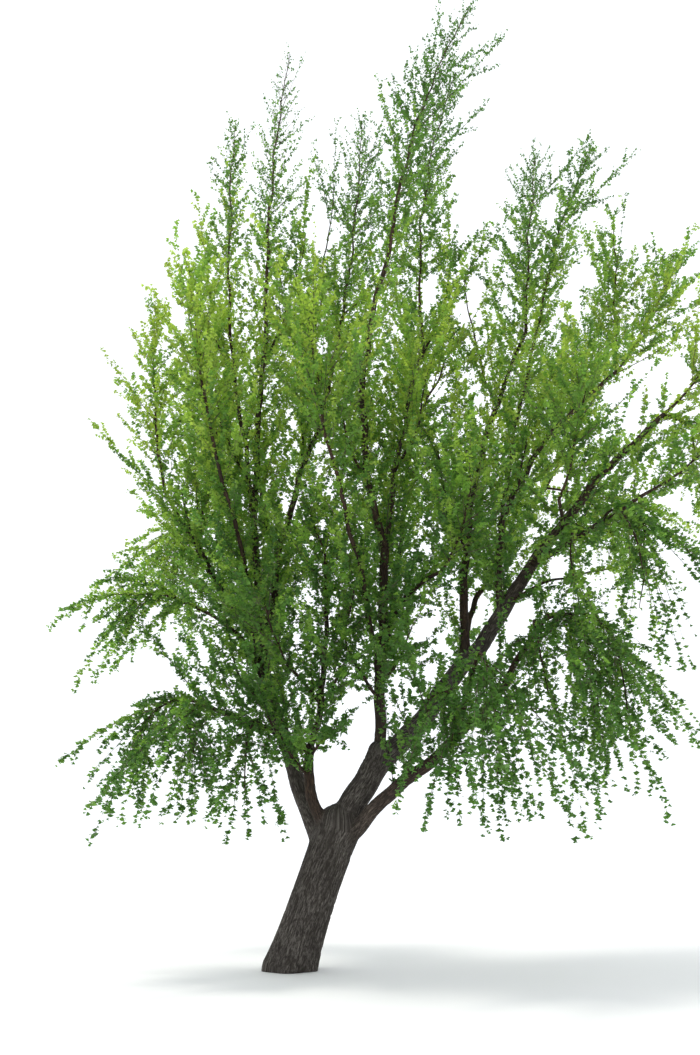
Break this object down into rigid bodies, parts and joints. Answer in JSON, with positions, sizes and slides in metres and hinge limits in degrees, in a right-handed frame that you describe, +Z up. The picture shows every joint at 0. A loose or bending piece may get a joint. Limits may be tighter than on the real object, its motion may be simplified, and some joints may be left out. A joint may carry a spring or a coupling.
{
  "type": "ginkgo tree",
  "caption": "Mature broad-crowned ginkgo tree with a leaning, low-forking trunk, tall upswept leaders and hanging outer sprays, in fresh green leaf, fixed at the ground.",
  "frame": {"origin": "centre of the flat cut under the trunk, at ground level", "axes": "+Z straight up along the tree's height; +X to the side that the trunk leans to, on the right in the picture; +Y away from the picture's viewer"},
  "size_m": [14.7153, 9.9092, 20.5845],
  "materials": {
    "bark": "rough, deeply fissured grey-brown bark",
    "foliage": "satin, fresh yellow-green leaves on grey-brown twigs"
  },
  "bodies": {
    "root": {"trunk": "bark", "main_stem": "bark", "grey_stem": "bark", "left_stem": "bark", "low_right_bough": "bark", "right_bough": "bark", "centre_leader": "bark", "low_left_bough": "bark", "inner_left_stem": "bark", "left_leader": "bark", "inner_leader": "bark", "far_left_bough": "bark", "second_left_leader": "bark", "tall_leader": "bark", "centre_right_leader": "bark", "centre_side_bough": "bark", "upright_leader": "bark", "right_leader": "bark", "right_bough_end": "bark", "slim_leader": "bark", "drooping_bough": "bark", "hanging_bough": "bark", "back_left_bough": "bark", "back_bough": "bark", "back_right_bough": "bark", "front_left_bough": "bark", "mid_left_bough": "bark", "front_right_bough": "bark", "low_centre_bough": "bark", "low_front_bough": "bark", "front_bough": "bark", "left_spire": "foliage", "second_left_spire": "foliage", "inner_spire": "foliage", "tall_spire": "foliage", "centre_right_spire": "foliage", "upright_spire": "foliage", "slim_spire": "foliage", "right_crest": "foliage", "right_upper": "foliage", "right_end": "foliage", "right_end_low": "foliage", "drooping": "foliage", "hanging_outer": "foliage", "hanging_inner": "foliage", "low_left_outer": "foliage", "low_left_inner": "foliage", "mid_left": "foliage", "far_left_high": "foliage", "front_left": "foliage", "inner_left": "foliage", "front": "foliage", "centre_front": "foliage", "front_right": "foliage", "low_centre": "foliage", "back_left": "foliage", "back_left_low": "foliage", "back": "foliage", "back_right": "foliage", "back_right_low": "foliage"}
  },
  "joints": []
}
